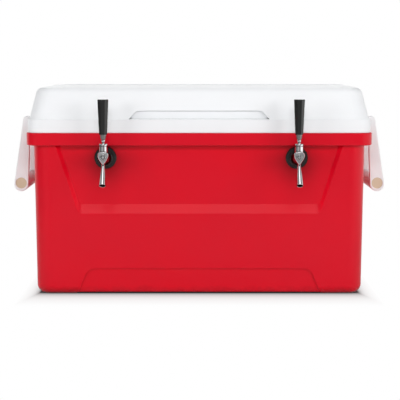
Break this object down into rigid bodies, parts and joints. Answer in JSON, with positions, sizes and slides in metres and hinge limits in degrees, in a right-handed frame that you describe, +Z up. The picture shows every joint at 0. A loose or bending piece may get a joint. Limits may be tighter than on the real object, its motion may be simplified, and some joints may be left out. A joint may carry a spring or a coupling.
{
  "type": "jockey box beer cooler",
  "caption": "Insulated ice chest with a hinged lid, swing-up carrying handles and beer taps in its front wall, fed through a cold plate on its floor.",
  "frame": {"origin": "on the floor under the middle of the chest, on the resting face of its base", "axes": "+Z up, +X along the long side to the right as seen from the taps, -Y towards the person at the taps"},
  "size_m": [0.7588, 0.4772, 0.414],
  "materials": {
    "red_shell": "satin",
    "white_shell": "satin",
    "white_liner": "satin",
    "foam": "matte",
    "handle_plastic": "satin",
    "tan_core": "satin",
    "black_plastic": "gloss",
    "chrome": "polished",
    "brushed_metal": "satin",
    "stainless": "satin",
    "rubber": "matte",
    "grey_plastic": "satin",
    "cast_aluminium": "satin",
    "hose_vinyl": "gloss"
  },
  "bodies": {
    "chest": {"cooler_shell": "red_shell", "cooler_liner": "white_liner", "chest_insulation": "foam", "hinge_chest_leaves": "stainless", "hinge_pins": "stainless", "hinge_chest_screws": "stainless", "drain_bushing": "grey_plastic", "drain_gasket": "rubber", "drain_nut": "grey_plastic", "handle_pivot_pins": "stainless", "handle_bracket_screws": "stainless", "wall_flanges": "black_plastic", "tap_shanks": "chrome", "inlet_shanks": "chrome", "coupling_nuts": "black_plastic", "coupling_gaskets": "rubber", "shank_washers": "stainless", "shank_locknuts": "stainless", "tail_washers": "rubber", "tailpieces": "stainless", "tail_nuts": "chrome", "faucet_caps": "chrome", "faucet_bonnets": "chrome", "friction_washers": "rubber", "cold_plate": "cast_aluminium", "cold_plate_stubs": "stainless", "tap_hoses": "hose_vinyl", "inlet_hoses": "hose_vinyl", "hose_clamps": "stainless", "left_handle_bracket": "handle_plastic", "left_faucet_body": "chrome", "right_handle_bracket": "handle_plastic", "right_faucet_body": "chrome"},
    "lid": {"lid_shell": "white_shell", "lid_liner": "white_liner", "lid_insulation": "foam", "hinge_lid_leaves": "stainless", "hinge_lid_screws": "stainless"},
    "right_carry_handle": {"right_handle": "handle_plastic", "right_grip_core": "tan_core"},
    "left_carry_handle": {"left_handle": "handle_plastic", "left_grip_core": "tan_core"},
    "left_tap_lever": {"left_lever": "chrome", "left_ferrule": "brushed_metal", "left_knob": "black_plastic"},
    "right_tap_lever": {"right_lever": "chrome", "right_ferrule": "brushed_metal", "right_knob": "black_plastic"},
    "left_tap_plunger": {"left_plunger": "stainless", "left_plunger_seal": "rubber"},
    "right_tap_plunger": {"right_plunger": "stainless", "right_plunger_seal": "rubber"},
    "drain_stopper": {"drain_plug": "grey_plastic", "drain_plug_seal": "rubber"}
  },
  "joints": [
    {"name": "lid_hinge", "type": "hinge", "parent": "chest", "child": "lid", "pos_m": [0, 0.2012, 0.325], "axis": [-1, 0, 0], "range_deg": [0, 100]},
    {"name": "right_handle_pivot", "type": "hinge", "parent": "chest", "child": "right_carry_handle", "pos_m": [0.3504, 0, 0.346], "axis": [0, -1, 0], "range_deg": [0, 165]},
    {"name": "left_handle_pivot", "type": "hinge", "parent": "chest", "child": "left_carry_handle", "pos_m": [-0.3504, 0, 0.346], "axis": [0, 1, 0], "range_deg": [0, 165]},
    {"name": "left_tap_pull", "type": "hinge", "parent": "chest", "child": "left_tap_lever", "pos_m": [-0.1864, -0.2345, 0.295], "axis": [1, 0, 0], "range_deg": [0, 25]},
    {"name": "left_plunger_slide", "type": "slide", "parent": "chest", "child": "left_tap_plunger", "axis": [0, 1, 0], "range_m": [0, 0.00475]},
    {"name": "right_tap_pull", "type": "hinge", "parent": "chest", "child": "right_tap_lever", "pos_m": [0.194, -0.2345, 0.295], "axis": [1, 0, 0], "range_deg": [0, 25]},
    {"name": "right_plunger_slide", "type": "slide", "parent": "chest", "child": "right_tap_plunger", "axis": [0, 1, 0], "range_m": [0, 0.00475]},
    {"name": "drain_pull", "type": "slide", "parent": "chest", "child": "drain_stopper", "axis": [1, 0, 0], "range_m": [0, 0.03]}
  ],
  "couplings": [
    {"joint": "left_plunger_slide", "follows": "left_tap_pull", "m_per_rad": 0.010654},
    {"joint": "right_plunger_slide", "follows": "right_tap_pull", "m_per_rad": 0.010654}
  ]
}
